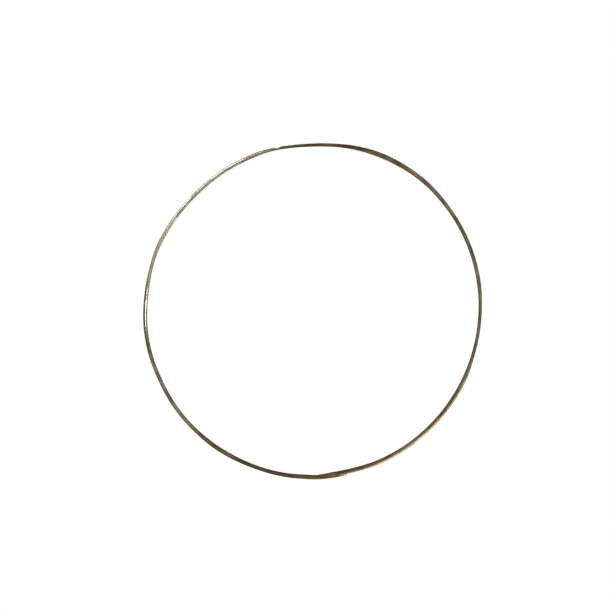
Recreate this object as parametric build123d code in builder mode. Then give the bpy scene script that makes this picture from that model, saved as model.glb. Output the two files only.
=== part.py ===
from build123d import *

import os
from math import cos, pi, radians, sin, sqrt, tan

# Wreath frame: a bare hoop of brass wire. One length of round wire goes once round and a little
# further, its two cut ends lie one on the other for a short lap, and braze holds the lap.
# The hoop lies flat on XY with its centre at the origin and its underside at Z = 0.
# Angles are in degrees from +X towards +Y. Everything else is in millimetres.

HOOP_WIDTH = 300.0  # mean width of the hoop over the outside of the wire
WIRE = 3.5  # wire diameter
END_CHAMFER = 0.3  # on the rim of each cut end

# The hoop is bent by hand and isn't a true circle.
OVAL = 1.6  # how far it swells along OVAL_AT, and shrinks across it
OVAL_AT = 32.5
THREE_LOBE = 0.35  # three gentle swellings, one of them at THREE_LOBE_AT
THREE_LOBE_AT = 53.0

# The lap of the two ends.
LAP_AT = 277.1  # middle of the lap
LAP_LENGTH = 25.5
LAP_SPREAD = 1.5  # the upper strand lies this much nearer to the hoop's centre than the lower one
BRAZE_GAP = 0.15  # film of braze between the two strands where they are closest
BRAZE_WRAP = 42.0  # how far the braze reaches round each strand, each way from the film
BRAZE_WAIST = 1.05  # half the width of the braze midway between the strands
BRAZE_SHORT = 0.6  # the braze stops this far before each end of the lap

# The route is straight runs joined by arcs that take nearly all of each run.
RUNS = 24
ARC_SHARE = 0.9  # radius of the arcs, as a share of the hoop's own radius

wire_radius = WIRE / 2
hoop_radius = HOOP_WIDTH / 2 - wire_radius
run_angle = 360 / RUNS
half_run = hoop_radius * tan(radians(run_angle / 2))
strand_pitch = WIRE + BRAZE_GAP
lap_lift = sqrt(strand_pitch**2 - LAP_SPREAD**2)


def outline(angle):
    """Distance of the wire's centre from the hoop's centre, in the direction of angle."""
    oval = OVAL * cos(2 * radians(angle - OVAL_AT))
    lobes = THREE_LOBE * cos(3 * radians(angle - THREE_LOBE_AT))
    return hoop_radius + oval + lobes


def corner(angle):
    """Corner of the route where two runs meet. It stands outside the outline, and the arc cuts it off."""
    reach = outline(angle) / cos(radians(run_angle / 2))
    return Vector(reach * cos(radians(angle)), reach * sin(radians(angle)), wire_radius)


# The lap's plane: X points away from the hoop's centre, Y up, and Z clockwise along the wire.
outward = Vector(cos(radians(LAP_AT)), sin(radians(LAP_AT)), 0)
clockwise = Vector(sin(radians(LAP_AT)), -cos(radians(LAP_AT)), 0)
lap_middle = outward * outline(LAP_AT) + Vector(0, 0, wire_radius)
lap_plane = Plane(origin=lap_middle, x_dir=outward, z_dir=clockwise)


def low_strand(along):
    return lap_plane.from_local_coords(Vector(LAP_SPREAD / 2, 0, along))


def high_strand(along):
    return lap_plane.from_local_coords(Vector(-LAP_SPREAD / 2, lap_lift, along))


# The wire starts at the lower end, goes clockwise round the hoop along the surface it lies on, and
# climbs in its last run to lie on its own start.
corners = [corner(LAP_AT - run_angle * (run + 0.5)) for run in range(1, RUNS - 1)]
stations = [
    low_strand(-LAP_LENGTH / 2),
    low_strand(half_run),
    *corners,
    high_strand(-half_run),
    high_strand(LAP_LENGTH / 2),
]
hoop_bend = ARC_SHARE * hoop_radius
lap_bend = ARC_SHARE * (half_run - LAP_LENGTH / 2) / tan(radians(run_angle / 2))
bends = [lap_bend, *[hoop_bend] * len(corners), lap_bend]

with BuildPart() as hoop_wire:
    with BuildLine():
        route = FilletPolyline(*stations, radius=bends)
    with BuildSketch(Plane(origin=route @ 0, z_dir=route % 0)):
        Circle(wire_radius)
    sweep(path=route)
    cut_ends = hoop_wire.faces().filter_by(GeomType.PLANE)
    chamfer(cut_ends.edges(), length=END_CHAMFER)

# The braze fills the valley on each side of the film, and is hollow-sided as solder runs.
# Its plane has Y from the lower strand's centre towards the upper one's.
across = high_strand(0) - low_strand(0)
braze_plane = Plane(origin=low_strand(0), x_dir=across.cross(clockwise), z_dir=clockwise)
with BuildPart() as lap_braze:
    with BuildSketch(braze_plane):
        with BuildLine():
            on_low = CenterArc((0, 0), wire_radius, 90 - BRAZE_WRAP, 2 * BRAZE_WRAP)
            on_high = CenterArc((0, strand_pitch), wire_radius, 270 - BRAZE_WRAP, 2 * BRAZE_WRAP)
            ThreePointArc(on_low @ 0, (BRAZE_WAIST, strand_pitch / 2), on_high @ 1)
            ThreePointArc(on_low @ 1, (-BRAZE_WAIST, strand_pitch / 2), on_high @ 0)
        make_face()
    extrude(amount=LAP_LENGTH / 2 - BRAZE_SHORT, both=True)

hoop_wire.part.label = "hoop_wire"
lap_braze.part.label = "lap_braze"

os.makedirs("parts", exist_ok=True)
export_step(hoop_wire.part, "parts/hoop_wire.step")
export_step(lap_braze.part, "parts/lap_braze.step")

plain_volume = pi * wire_radius**2 * route.length
print(f"wire {route.length:.1f} mm long, {hoop_wire.part.volume:.1f} of {plain_volume:.1f} mm3")
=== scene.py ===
from math import atan2, ceil, cos, degrees, exp, pi, radians, sin, sqrt, tau

import bpy
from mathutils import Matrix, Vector, noise


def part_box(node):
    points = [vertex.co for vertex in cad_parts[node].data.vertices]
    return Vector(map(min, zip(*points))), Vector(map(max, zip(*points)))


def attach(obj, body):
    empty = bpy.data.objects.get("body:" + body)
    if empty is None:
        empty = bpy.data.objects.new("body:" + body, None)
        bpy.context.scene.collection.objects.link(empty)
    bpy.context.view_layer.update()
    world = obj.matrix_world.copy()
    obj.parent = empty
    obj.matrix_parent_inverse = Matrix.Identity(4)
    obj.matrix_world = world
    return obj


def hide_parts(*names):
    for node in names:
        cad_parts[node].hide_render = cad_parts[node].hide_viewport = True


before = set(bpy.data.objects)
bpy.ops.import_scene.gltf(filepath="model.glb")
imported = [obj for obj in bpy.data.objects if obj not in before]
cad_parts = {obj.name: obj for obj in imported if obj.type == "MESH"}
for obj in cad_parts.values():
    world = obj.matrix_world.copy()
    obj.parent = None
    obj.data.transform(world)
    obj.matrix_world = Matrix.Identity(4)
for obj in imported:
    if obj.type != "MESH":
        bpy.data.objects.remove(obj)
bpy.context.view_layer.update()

# Wreath frame: one length of aged brass wire, worked by hand into a hoop, its ends lapped and brazed.
# Lengths are in metres. Angles round the hoop are in degrees from +X towards +Y.
MM = 0.001

# The line of the wire, as the CAD has it.
WIRE = 3.5 * MM
HOOP_WIDTH = 300 * MM
OVAL = 1.6 * MM
OVAL_AT = 32.5
THREE_LOBE = 0.35 * MM
THREE_LOBE_AT = 53
LAP_LENGTH = 25.5 * MM
LAP_SPREAD = 1.5 * MM
BRAZE_GAP = 0.15 * MM
END_CHAMFER = 0.3 * MM

# What hand work leaves on the wire, and where highlight and shade are painted on it. These four lists are
# rounded from longer ones that were fitted to measurements of the photo.
# Bends: the angle, how far the wire stands out there in millimetres, and how many degrees it reaches.
BENDS = [
    (50, 0.5, 10), (90, -1, 10), (105, 0.5, 6), (135, -0.5, 10), (160, 0.5, 6), (175, -0.5, 8),
    (205, -0.5, 8), (260, 0.5, 10), (285, -0.5, 10),
]
# Each pair in the next lists is an angle round the hoop and a value there.
# Width of the wire seen from above, in millimetres. It is flattened here and pinched there.
WIDTHS = [
    (0, 3), (10, 3.5), (35, 3.5), (50, 4), (65, 4.5), (85, 3), (101, 2.5), (102.5, 1.5), (104, 2.5),
    (110, 3.5), (155, 3.5), (165, 3), (175, 3.5), (225, 3.5), (235, 4), (250, 3.5), (270, 4), (335, 4),
    (345, 3),
]
# How pale the wire is at each angle, from 0, dark, to 1, pale: partly patina rubbed off, partly painted
# highlight where the lamps catch the wire. Low values are darkened further, at the lap by the heat of
# brazing and elsewhere as painted shade.
RUBBED_AND_PAINTED_LIGHT = [
    (20, 0.3), (45, 0.3), (65, 0.2), (80, 0), (100, 0), (110, 0.6), (140, 0.7), (150, 1.2), (165, 0.9),
    (175, 0.2), (190, 0.1), (200, 0.5), (215, 0.5), (235, 0.1), (265, 0), (290, 0), (305, 0.3), (320, 0.1),
]
# Stretches where slanting tooth marks show, and how many degrees they fade over.
TOOTHED = [(105, 120), (145, 157), (170, 180), (212, 225), (276, 286), (295, 335)]
TOOTHED_FADE = 5
FAINT_TEETH = 0.15  # everywhere else
TALLEST = 4.0 * MM  # no pinch makes the wire taller than this
# Lumps in the skin: how high they are, and about how many millimetres across.
SMALL_LUMPS, SMALL_ACROSS = 0.035 * MM, 1.7
WIDE_LUMPS, WIDE_ACROSS = 0.06 * MM, 6.5
TOOTH_PITCH = 2.8 * MM
TOOTH_DEPTH = 0.12 * MM
TOOTH_SLANT = 0.5  # how many pitches a mark moves along the wire in half a turn round it
TOOTH_DRIFT = 16 * MM  # over about this length the marks' spacing wanders
BURRS_AT = (238.2, 240.4)  # two small burrs on the inner face
BURR_HEIGHT = 0.38 * MM
BURR_LENGTH = 0.7 * MM
BURR_TURN = 0.8  # radians round the wire
FLAT_FROM, FLAT_TO = 170, 189  # where a flat is rubbed along the crown of the wire
FLAT_TURN = 108  # degrees round the wire, from its outer side over its top
FLAT_DEPTH = 0.028  # as a share of the wire's radius
FLAT_STARTS_OVER, FLAT_ENDS_OVER = 5, 4  # degrees round the hoop in which it reaches its depth
# Paleness added along the flat: rubbed metal, and a painted highlight there.
FLAT_WEAR_AND_HIGHLIGHT = 1.0

# Where the wire leaves the lap, comes back, climbs and tucks in, in degrees clockwise from its middle.
LOWER_LEAVES = 11
UPPER_ARRIVES = 343
CLIMB_STARTS = 336
CLIMB_ENDS = 355
TUCK_STARTS = 359.5
END_TUCK = 0.7 * MM  # how far outwards the upper end bends, back over the lower strand
END_TAPER = 0.22  # share of its width that the upper end loses to the file, over TAPER_LENGTH
TAPER_LENGTH = 6 * MM
FILED_LENGTH = 9 * MM  # of the lower end, filed clean of patina
FILED_RUBBED = 0.8

# The braze, in a section square to the wire: how many degrees it reaches round each strand, and half its
# width midway between them.
BRAZE_WRAP = 50
BRAZE_UNEVEN = 12  # degrees that its edges wander
BRAZE_WAIST = 1.02 * MM
WAIST_UNEVEN = 0.22  # share of the waist by which it varies
IN_SKIN = 0.94  # how far out in a strand the braze's edge lies, as a share of the strand's radius
BRAZE_REACH = 0.93  # as a share of the lap
BRAZE_RUBBED = 0.35
BRAZE_STEPS, BRAZE_ARC, BRAZE_FACE = 64, 9, 7  # rings, and points of a ring's arcs and faces

RING_STEP = 0.36 * MM
AROUND = 32  # points in a ring
CUT_FACE_RINGS = (1.1 * MM, 0.6 * MM, END_CHAMFER)  # how far each is drawn in from the wire's skin

wire_radius = WIRE / 2
hoop_radius = HOOP_WIDTH / 2 - wire_radius
braze_low, braze_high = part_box("lap_braze")
lap_middle = (braze_low + braze_high) / 2
lap_at = degrees(atan2(lap_middle.y, lap_middle.x)) % 360
half_lap = degrees(LAP_LENGTH / 2 / hoop_radius)


def smooth(x):
    """Goes from 0 to 1 without a corner as x does."""
    x = min(max(x, 0), 1)
    return x * x * (3 - 2 * x)


def hump(x, width):
    """1 at x = 0, falling to nothing a few widths away."""
    return exp(-((x / width) ** 2))


def wobble(*place):
    """Soft noise from -1 to 1."""
    return noise.noise(Vector(place))


def around_hoop(pairs, angle):
    """The value at angle of a list of (angle, value), which goes all the way round."""
    first_angle, first_value = pairs[0]
    angle = (angle - first_angle) % 360 + first_angle
    for (a, value), (b, next_value) in zip(pairs, [*pairs[1:], (first_angle + 360, first_value)]):
        if a <= angle < b:
            return value + (next_value - value) * smooth((angle - a) / (b - a))
    return first_value


def stands_out(angle):
    """How far the bends move the wire out at an angle round the hoop."""
    gaps = [((angle - place + 180) % 360 - 180, out, reach) for place, out, reach in BENDS]
    return sum(out * hump(gap, reach) for gap, out, reach in gaps) * MM


def toothed(angle):
    """How deeply the tooth marks have bitten at an angle round the hoop, from 0 to 1."""
    angle %= 360
    fades = [(angle - start, end - angle) for start, end in TOOTHED]
    deepest = max(smooth(begun / TOOTHED_FADE) * smooth(left / TOOTHED_FADE) for begun, left in fades)
    return max(deepest, FAINT_TEETH)


# Shape.


def section(turned):
    """Half the wire's width and half its height. What a flat loses in height it gains in width."""
    half_width = around_hoop(WIDTHS, lap_at - turned) / 2 * MM
    half_height = min(wire_radius**2 / half_width, TALLEST / 2)
    to_end = radians(360 + half_lap - turned) * hoop_radius
    kept = 1 - END_TAPER * smooth(1 - to_end / TAPER_LENGTH)
    return half_width * kept, half_height * kept


def inner_face(turned):
    """How far the wire's inner face is from the hoop's centre where it lies alone."""
    angle = lap_at - turned
    oval = OVAL * cos(2 * radians(angle - OVAL_AT))
    lobes = THREE_LOBE * cos(3 * radians(angle - THREE_LOBE_AT))
    return hoop_radius + oval + lobes - wire_radius + stands_out(angle)


def centre(turned):
    """Centre of the wire, turned degrees clockwise from the lap's middle on the lower strand."""
    angle = lap_at - turned
    half_width, half_height = section(turned)
    if turned < 180:
        leaves = smooth((turned - half_lap) / (LOWER_LEAVES - half_lap))
        out = inner_face(turned) + half_width + (1 - leaves) * LAP_SPREAD / 2
        up = half_height
    else:
        arrives = smooth((turned - UPPER_ARRIVES) / (360 - half_lap - UPPER_ARRIVES))
        tuck = END_TUCK * smooth((turned - TUCK_STARTS) / (360 + half_lap - TUCK_STARTS))
        out = inner_face(turned) + half_width - arrives * LAP_SPREAD / 2 + tuck
        low_half_width, low_half_height = section(turned - 360)
        beside = inner_face(turned) + low_half_width + LAP_SPREAD / 2 - out
        pitch = low_half_height + half_height + BRAZE_GAP
        lifted = low_half_height + sqrt(pitch**2 - min(beside, LAP_SPREAD) ** 2)
        climb = smooth((turned - CLIMB_STARTS) / (CLIMB_ENDS - CLIMB_STARTS))
        up = half_height + (lifted - half_height) * climb
    return Vector((out * cos(radians(angle)), out * sin(radians(angle)), up))


def across(turned):
    """Unit vectors square to the wire: outwards and upwards."""
    step = 0.05
    along = (centre(turned + step) - centre(turned - step)).normalized()
    outward = Vector((0, 0, 1)).cross(along).normalized()
    return outward, along.cross(outward)


def tooth_mark(along, turn):
    """From 0 to 1 in a tooth's dent, at a length along the wire and a turn round it."""
    drift = 0.6 * wobble(along / TOOTH_DRIFT, 4.7, 0)
    bite = 0.75 + 0.5 * wobble(0.45 * along / TOOTH_PITCH, 9.1, 0)
    return bite * (0.5 + 0.5 * cos(tau * (along / TOOTH_PITCH + drift) + 2 * TOOTH_SLANT * turn)) ** 3


def rubbed_flat(turn, angle):
    """What the flat leaves of the wire's radius, as a share, and whether the place is on the flat."""
    depth = FLAT_DEPTH * smooth((angle - FLAT_FROM) / FLAT_STARTS_OVER)
    depth *= smooth((FLAT_TO - angle) / FLAT_ENDS_OVER)
    facing = cos(turn - radians(FLAT_TURN))
    if facing <= 1 - depth:
        return 1, 0
    return (1 - depth) / facing, min(depth / FLAT_DEPTH, 1)


def relief(along, turn, angle):
    """How far the surface stands out at a place on the wire, below 0 in a dent."""
    place = wire_place(along, turn)
    lumps = SMALL_LUMPS * wobble(*place / SMALL_ACROSS) + WIDE_LUMPS * wobble(*place / WIDE_ACROSS)
    teeth = TOOTH_DEPTH * toothed(angle) * tooth_mark(along, turn)
    burrs = 0
    for burr in BURRS_AT:
        away = radians(angle - burr) * hoop_radius
        burrs += BURR_HEIGHT * hump(away, BURR_LENGTH) * hump(turn - pi, BURR_TURN)
    return lumps - teeth + burrs


def wire_place(along, turn):
    """A place in the straightened wire, in millimetres, for patterns that follow it."""
    return Vector((along / MM, wire_radius / MM * cos(turn), wire_radius / MM * sin(turn)))


def closed_tube(name, rings, facts, cut_rings=0):
    """A mesh of rings of points, closed by a point at each end, whose first and last cut_rings are the cut
    faces and take the second material. facts is {attribute: values}, as the rings."""
    per_ring = len(rings[0])
    points = [point for ring in rings for point in ring]
    start_tip, end_tip = len(points), len(points) + 1
    points += [sum(ring, Vector()) / per_ring for ring in (rings[0], rings[-1])]
    last = len(rings) - 1
    faces, materials = [], []
    for i in range(per_ring):
        j = (i + 1) % per_ring
        faces += [(start_tip, j, i), (end_tip, last * per_ring + i, last * per_ring + j)]
        materials += [int(cut_rings > 0)] * 2
        for ring in range(last):
            here, there = ring * per_ring, (ring + 1) * per_ring
            faces.append((here + i, here + j, there + j, there + i))
            materials.append(int(ring + 1 < cut_rings or ring >= last + 1 - cut_rings))
    mesh = bpy.data.meshes.new(name)
    mesh.from_pydata(points, [], faces)
    mesh.polygons.foreach_set("material_index", materials)
    for fact, values in facts.items():
        flat = [value for ring in values for value in ring] + [values[0][0], values[-1][0]]
        if isinstance(flat[0], Vector):
            attribute = mesh.attributes.new(fact, "FLOAT_VECTOR", "POINT")
            attribute.data.foreach_set("vector", [x for vector in flat for x in vector])
        else:
            attribute = mesh.attributes.new(fact, "FLOAT", "POINT")
            attribute.data.foreach_set("value", flat)
    mesh.shade_smooth()
    mesh.set_sharp_from_angle(angle=radians(50))
    piece = bpy.data.objects.new(name, mesh)
    bpy.context.scene.collection.objects.link(piece)
    return piece


def make_wire():
    """The whole wire, from its lower cut end clockwise round to its upper one."""
    first, last = -half_lap, 360 + half_lap
    length = radians(last - first) * hoop_radius
    steps = ceil((length - 2 * END_CHAMFER) / RING_STEP)
    even = [(END_CHAMFER + (length - 2 * END_CHAMFER) * i / steps, 0) for i in range(steps + 1)]
    start = [(0, drawn_in) for drawn_in in CUT_FACE_RINGS]
    end = [(length, drawn_in) for drawn_in in reversed(CUT_FACE_RINGS)]
    rings, places, raised, paleness = [], [], [], []
    for along, drawn_in in start + even + end:
        turned = first + (last - first) * along / length
        angle = lap_at - turned
        middle = centre(turned)
        outward, upward = across(turned)
        half_width, half_height = section(turned)
        turns = [tau * i / AROUND for i in range(AROUND)]
        stands = [relief(along, turn, angle) for turn in turns]
        flats = [rubbed_flat(turn, angle) for turn in turns]
        ring = []
        for turn, stand, (share, _) in zip(turns, stands, flats):
            skin = outward * half_width * cos(turn) + upward * half_height * sin(turn)
            normal = outward * cos(turn) / half_width + upward * sin(turn) / half_height
            kept = 1 - drawn_in / wire_radius
            point = middle + (skin * share + normal.normalized() * stand) * kept
            point.z = max(point.z, 0)
            ring.append(point)
        rings.append(ring)
        places.append([wire_place(along, turn) for turn in turns])
        raised.append([stand / MM for stand in stands])
        filed = smooth(3 - 3 * along / FILED_LENGTH)
        # Paleness round the hoop: patina rubbed off and the end filed clean, with painted highlight where it
        # is high and painted shade where it is low.
        bare_and_painted_highlight = around_hoop(RUBBED_AND_PAINTED_LIGHT, angle)
        paleness.append([bare_and_painted_highlight + FLAT_WEAR_AND_HIGHLIGHT * on_flat + FILED_RUBBED * filed for _, on_flat in flats])
    facts = {"place": places, "raised": raised, "paleness": paleness}
    return closed_tube("worked_wire", rings, facts, cut_rings=len(CUT_FACE_RINGS))


def braze_flank(low, high, frame_here, side, share):
    """Points of one side of the braze in a section square to the wire, from the middle of its underside
    round to the middle of its top. share goes from 0 to 1 along the braze."""
    outward, upward, half_width, half_height = frame_here
    lean = atan2((high - low).dot(outward), (high - low).dot(upward))
    ending = sqrt(max(1 - (2 * share - 1) ** 8, 0.05))
    wrap = (BRAZE_WRAP + BRAZE_UNEVEN * wobble(share * 5.5, side * 3.1, 1.3)) * ending
    waist = BRAZE_WAIST * (1 + WAIST_UNEVEN * wobble(share * 8, side * 7.7, 5.1)) * ending

    def in_skin(middle, turn):
        """A point just under a strand's skin, so that the braze has its edge in the skin."""
        return middle + IN_SKIN * (outward * half_width * sin(turn) + upward * half_height * cos(turn))

    below = [in_skin(low, lean + side * radians(wrap * i / BRAZE_ARC)) for i in range(BRAZE_ARC + 1)]
    above = [in_skin(high, lean + pi - side * radians(wrap * i / BRAZE_ARC)) for i in range(BRAZE_ARC + 1)]
    hollow = (low + high) / 2 + (outward * cos(lean) - upward * sin(lean)) * side * waist
    face = []
    for i in range(1, BRAZE_FACE):
        s = i / BRAZE_FACE
        face.append(below[-1].lerp(above[-1], s).lerp(hollow, 4 * s * (1 - s)))
    return below + face + above[::-1]


def make_braze():
    """The braze between the two strands of the lap, hollow-sided and uneven as it froze."""
    rings, places, raised, paleness = [], [], [], []
    for step in range(BRAZE_STEPS + 1):
        share = step / BRAZE_STEPS
        turned = half_lap * BRAZE_REACH * (2 * share - 1)
        low, high = centre(turned), centre(360 + turned)
        frame_here = (*across(turned), *section(turned))
        outer = braze_flank(low, high, frame_here, 1, share)
        inner = braze_flank(low, high, frame_here, -1, share)
        ring = outer + inner[-2:0:-1]
        rings.append(ring)
        places.append([point / MM for point in ring])
        raised.append([0.0] * len(ring))
        paleness.append([BRAZE_RUBBED] * len(ring))
    return closed_tube("worked_braze", rings, {"place": places, "raised": raised, "paleness": paleness})


# Materials.


def node(tree, kind, inputs=None, **settings):
    """A new node. inputs is {socket: a number, a colour or another node's output}."""
    made = tree.nodes.new(kind)
    for name, value in settings.items():
        setattr(made, name, value)
    for socket, value in (inputs or {}).items():
        if isinstance(value, bpy.types.NodeSocket):
            tree.links.new(value, made.inputs[socket])
        else:
            made.inputs[socket].default_value = value
    return made


def ramp(tree, factor, stops):
    """A colour for a factor. stops is a list of (factor, (red, green, blue))."""
    made = node(tree, "ShaderNodeValToRGB", {"Fac": factor})
    elements = made.color_ramp.elements
    while len(elements) < len(stops):
        elements.new(0.5)
    for element, (position, colour) in zip(elements, stops):
        element.position = position
        element.color = (*colour, 1)
    return made.outputs["Color"]


def rescale(tree, value, low, high, new_low=0, new_high=1):
    """value, with low to high stretched to new_low to new_high and held there."""
    names = ("Value", "From Min", "From Max", "To Min", "To Max")
    made = node(tree, "ShaderNodeMapRange", dict(zip(names, (value, low, high, new_low, new_high))))
    return made.outputs["Result"]


def mixed(tree, factor, colour, other):
    """Colour going to other as factor goes from 0 to 1."""
    made = node(tree, "ShaderNodeMix", data_type="RGBA")
    factor_socket, colour_socket, other_socket, result = 0, 6, 7, 2
    tree.links.new(factor, made.inputs[factor_socket])
    for socket, value in ((colour_socket, colour), (other_socket, other)):
        if isinstance(value, bpy.types.NodeSocket):
            tree.links.new(value, made.inputs[socket])
        else:
            made.inputs[socket].default_value = (*value, 1)
    return made.outputs[result]


def multiplied(tree, colour, other):
    """One colour times another."""
    made = node(tree, "ShaderNodeVectorMath", {0: colour, 1: other}, operation="MULTIPLY")
    return made.outputs[0]


def sums(tree, operation, value, other):
    """One sum on two values, such as ADD or MULTIPLY."""
    return node(tree, "ShaderNodeMath", {0: value, 1: other}, operation=operation).outputs[0]


def grain(tree, place, size, stretch=1, detail=3.0, roughness=0.5):
    """Noise whose blots are about size millimetres, drawn out along the wire by stretch."""
    squeezed = node(tree, "ShaderNodeVectorMath", {0: place, 1: (1 / stretch, 1, 1)}, operation="MULTIPLY")
    inputs = {
        "Vector": squeezed.outputs[0],
        "Scale": 1 / size,
        "Detail": detail,
        "Roughness": roughness,
    }
    return node(tree, "ShaderNodeTexNoise", inputs).outputs["Fac"]


def metal(name, colours, worn_colour, bare_and_highlight_colour, wear, roughness, line_depth):
    """Old brass: patina in blots, worn bright where it stands proud, with drawing lines and fine pits.
    colours go from the darkest patina to the cleanest metal."""
    material = bpy.data.materials.new(name)
    material.use_nodes = True
    tree = material.node_tree
    shader = tree.nodes["Principled BSDF"]
    place = node(tree, "ShaderNodeAttribute", attribute_name="place").outputs["Vector"]
    raised = node(tree, "ShaderNodeAttribute", attribute_name="raised").outputs["Fac"]
    blots = grain(tree, place, 2.6, stretch=5, detail=5, roughness=0.62)
    specks = grain(tree, place, 0.45, stretch=1.6, detail=3)
    lines = grain(tree, place, 0.12, stretch=60, detail=2)
    pits = grain(tree, place, 0.16, detail=2)

    patina = sums(tree, "ADD", blots, sums(tree, "MULTIPLY", sums(tree, "SUBTRACT", specks, 0.5), 0.5))
    stops = [(0.32 + 0.36 * i / (len(colours) - 1), colour) for i, colour in enumerate(colours)]
    aged = ramp(tree, patina, stops)
    proud = rescale(tree, raised, -0.06, 0.07)
    paleness = sums(tree, "MULTIPLY", proud, rescale(tree, patina, 0.38, 0.62))
    streaked = sums(tree, "MULTIPLY", paleness, rescale(tree, lines, 0.35, 0.6, 0.55, 1))
    worn = sums(tree, "MULTIPLY", streaked, wear)
    colour = mixed(tree, worn, aged, worn_colour)
    in_dent = rescale(tree, raised, -0.12, -0.03, 0.8, 0)
    colour = mixed(tree, in_dent, colour, colours[0])
    # The paleness attribute is partly wear and partly painted highlight; where it is low, painted shade
    # darkens it below.
    worn_and_painted_light = node(tree, "ShaderNodeAttribute", attribute_name="paleness").outputs["Fac"]
    patchy = sums(tree, "ADD", worn_and_painted_light, rescale(tree, patina, 0.3, 0.7, -0.35, 0.35))
    bare_and_painted_highlight = sums(tree, "MULTIPLY", rescale(tree, patchy, 0.45, 1.15), sums(tree, "SUBTRACT", 1, in_dent))
    # The pale colour of bare metal, which also serves as painted highlight where the paleness is high.
    colour = mixed(tree, bare_and_painted_highlight, colour, bare_and_highlight_colour)
    brown = grain(tree, place, 5.5, stretch=3, detail=3)
    tint = ramp(tree, brown, [(0.35, (0.975, 1.05, 0.985)), (0.65, (1.06, 1.015, 1.06))])
    colour = multiplied(tree, tint, colour)
    # Darker where the paleness is low: at the lap the heat of brazing, and over the rest of the hoop painted
    # shade.
    heat_and_painted_shade = ramp(tree, worn_and_painted_light, [(0, (0.55, 0.49, 0.41)), (0.35, (1, 1, 1))])
    colour = multiplied(tree, heat_and_painted_shade, colour)
    tree.links.new(colour, shader.inputs["Base Color"])

    polish = sums(tree, "MAXIMUM", worn, bare_and_painted_highlight)
    dull = rescale(tree, polish, 0, 1, roughness + 0.07, roughness - 0.09)
    dull = sums(tree, "ADD", dull, rescale(tree, specks, 0.3, 0.7, -0.05, 0.06))
    tree.links.new(dull, shader.inputs["Roughness"])
    height = sums(tree, "ADD", sums(tree, "MULTIPLY", lines, 0.5), sums(tree, "MULTIPLY", pits, 0.5))
    height = sums(tree, "ADD", height, sums(tree, "MULTIPLY", specks, 0.7))
    inputs = {"Height": height, "Distance": line_depth, "Strength": 1.0}
    tree.links.new(node(tree, "ShaderNodeBump", inputs).outputs["Normal"], shader.inputs["Normal"])
    shader.inputs["Metallic"].default_value = 1.0
    return material


def cut_brass():
    """The sawn ends: cleaner metal, with the saw's fine lines."""
    material = bpy.data.materials.new("cut_brass")
    material.use_nodes = True
    tree = material.node_tree
    shader = tree.nodes["Principled BSDF"]
    place = node(tree, "ShaderNodeTexCoord").outputs["Object"]
    in_mm = node(tree, "ShaderNodeVectorMath", {0: place, 1: (1 / MM,) * 3}, operation="MULTIPLY").outputs[0]
    inputs = {"Vector": in_mm, "Scale": 1.6, "Distortion": 1.5, "Detail": 2}
    saw = node(tree, "ShaderNodeTexWave", inputs, bands_direction="Z").outputs["Fac"]
    tarnish = grain(tree, in_mm, 0.8)
    mottled = sums(tree, "ADD", sums(tree, "MULTIPLY", saw, 0.25), sums(tree, "MULTIPLY", tarnish, 0.75))
    stops = [(0.3, (0.10, 0.072, 0.04)), (0.65, (0.42, 0.32, 0.17))]
    tree.links.new(ramp(tree, mottled, stops), shader.inputs["Base Color"])
    tree.links.new(rescale(tree, mottled, 0.3, 0.7, 0.55, 0.36), shader.inputs["Roughness"])
    inputs = {"Height": saw, "Distance": 0.02 * MM}
    tree.links.new(node(tree, "ShaderNodeBump", inputs).outputs["Normal"], shader.inputs["Normal"])
    shader.inputs["Metallic"].default_value = 0.95
    return material


# Studio.


def softbox(name, place, aim, width, height, power, colour, spread):
    """A soft rectangular light that the camera doesn't see, whose light keeps within spread degrees."""
    lamp = bpy.data.lights.new(name, "AREA")
    lamp.shape = "RECTANGLE"
    lamp.size = width
    lamp.size_y = height
    lamp.energy = power
    lamp.spread = radians(spread)
    lamp.color = colour
    light = bpy.data.objects.new(name, lamp)
    light.location = place
    light.rotation_euler = (Vector(aim) - Vector(place)).to_track_quat("-Z", "Y").to_euler()
    light.visible_camera = False
    bpy.context.scene.collection.objects.link(light)
    return light


def polar(angle, out, up):
    """A place at an angle round the hoop, at a distance from its centre and a height."""
    return Vector((out * cos(radians(angle)), out * sin(radians(angle)), up))


def make_floor():
    """A plain white light table, which shows no shadow, and which the metal doesn't mirror. It is clear
    from below, so that the hoop's underside can be looked at."""
    half, down = 4.0, -0.1 * MM
    corners = [(-half, -half, down), (half, -half, down), (half, half, down), (-half, half, down)]
    mesh = bpy.data.meshes.new("floor")
    mesh.from_pydata(corners, [], [(0, 1, 2, 3)])
    floor = bpy.data.objects.new("floor", mesh)
    material = bpy.data.materials.new("floor_white")
    material.use_nodes = True
    shader = material.node_tree.nodes["Principled BSDF"]
    shader.inputs["Base Color"].default_value = (0, 0, 0, 1)
    shader.inputs["Roughness"].default_value = 1.0
    shader.inputs["Specular IOR Level"].default_value = 0
    shader.inputs["Emission Color"].default_value = (1, 1, 1, 1)
    shader.inputs["Emission Strength"].default_value = 1.0
    nodes, links = material.node_tree.nodes, material.node_tree.links
    clear = nodes.new("ShaderNodeBsdfTransparent")
    sides = nodes.new("ShaderNodeMixShader")
    links.new(nodes.new("ShaderNodeNewGeometry").outputs["Backfacing"], sides.inputs[0])
    links.new(shader.outputs[0], sides.inputs[1])
    links.new(clear.outputs[0], sides.inputs[2])
    links.new(sides.outputs[0], nodes["Material Output"].inputs["Surface"])
    mesh.materials.append(material)
    floor.visible_glossy = False
    bpy.context.scene.collection.objects.link(floor)


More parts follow.
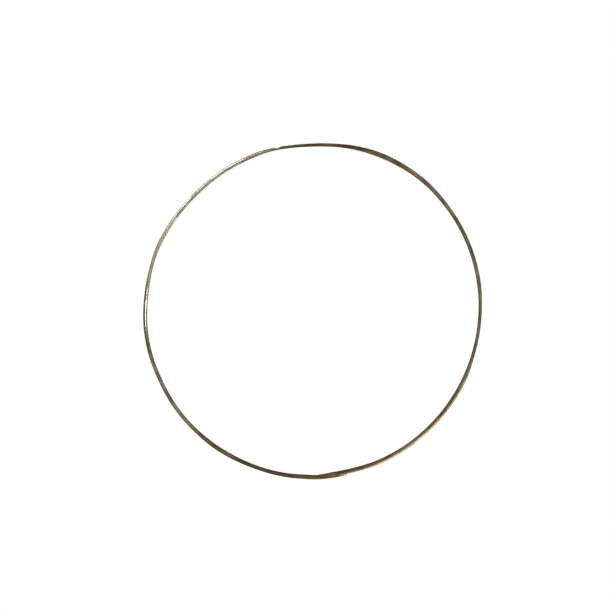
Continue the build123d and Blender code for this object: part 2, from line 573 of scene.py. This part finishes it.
def make_world():
    """White behind everything to the camera, and a dim studio in the metal: grey above, dark below."""
    world = bpy.data.worlds.new("studio")
    bpy.context.scene.world = world
    world.use_nodes = True
    tree = world.node_tree
    background = tree.nodes["Background"]
    way = node(tree, "ShaderNodeTexCoord").outputs["Generated"]
    height = node(tree, "ShaderNodeSeparateXYZ", {0: way}).outputs["Z"]
    room = ramp(tree, rescale(tree, height, -1, 1), [
        (0.0, (0.3, 0.27, 0.23)), (0.2, (0.2, 0.18, 0.155)), (0.48, (0.1, 0.09, 0.075)),
        (0.56, (0.4, 0.365, 0.31)), (0.8, (0.46, 0.42, 0.36)), (1.0, (0.4, 0.365, 0.31)),
    ])
    seen = node(tree, "ShaderNodeLightPath").outputs["Is Camera Ray"]
    tree.links.new(mixed(tree, seen, room, (1, 1, 1)), background.inputs["Color"])


def make_camera():
    """Straight above the hoop, which stands a little right of and below the middle of the picture."""
    scene = bpy.context.scene
    lens = bpy.data.cameras.new("camera")
    lens.lens = 85
    lens.sensor_width = 36
    view_width = 541.4 * MM
    camera = bpy.data.objects.new("camera", lens)
    distance = view_width / lens.sensor_width * lens.lens
    camera.location = (-7.1 * MM, 4.2 * MM, distance + wire_radius)
    scene.collection.objects.link(camera)
    scene.camera = camera
    scene.view_settings.view_transform = "Standard"


make_camera()
make_floor()
make_world()

DAYLIGHT = (0.84, 0.94, 1.0)
LAMPLIGHT = (1.0, 0.975, 0.94)
AIM_OUT = 0.149  # the lights are aimed at the wire, this far from the hoop's centre
BOX_OUT = 0.262
softbox("upper_left", polar(130, BOX_OUT, 0.085), polar(130, AIM_OUT, 0), 0.13, 0.08, 0.047, DAYLIGHT, 90)
softbox("lower_right", polar(309, BOX_OUT, 0.05), polar(309, AIM_OUT, 0), 0.23, 0.07, 0.07, LAMPLIGHT, 90)
# A small lamp near the wire, for the bright line on the rubbed flat.
softbox("left", (-0.112, 0.001, 0.062), (-AIM_OUT, 0.001, 0), 0.026, 0.02, 0.0045, LAMPLIGHT, 120)

aged_brass = metal(
    "aged_brass",
    colours=[(0.2, 0.15, 0.092), (0.31, 0.243, 0.16), (0.37, 0.298, 0.2), (0.48, 0.395, 0.275)],
    worn_colour=(0.62, 0.56, 0.45),
    bare_and_highlight_colour=(0.84, 0.8, 0.71),
    wear=0.8,
    roughness=0.36,
    line_depth=0.03 * MM,
)
braze_brass = metal(
    "braze_brass",
    colours=[(0.17, 0.12, 0.06), (0.36, 0.27, 0.14), (0.56, 0.45, 0.26)],
    worn_colour=(0.6, 0.52, 0.38),
    bare_and_highlight_colour=(0.78, 0.68, 0.46),
    wear=0.4,
    roughness=0.42,
    line_depth=0.05 * MM,
)

wire = make_wire()
wire.data.materials.append(aged_brass)
wire.data.materials.append(cut_brass())
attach(wire, "root")
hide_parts("hoop_wire")

braze = make_braze()
braze.data.materials.append(braze_brass)
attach(braze, "root")
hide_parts("lap_braze")
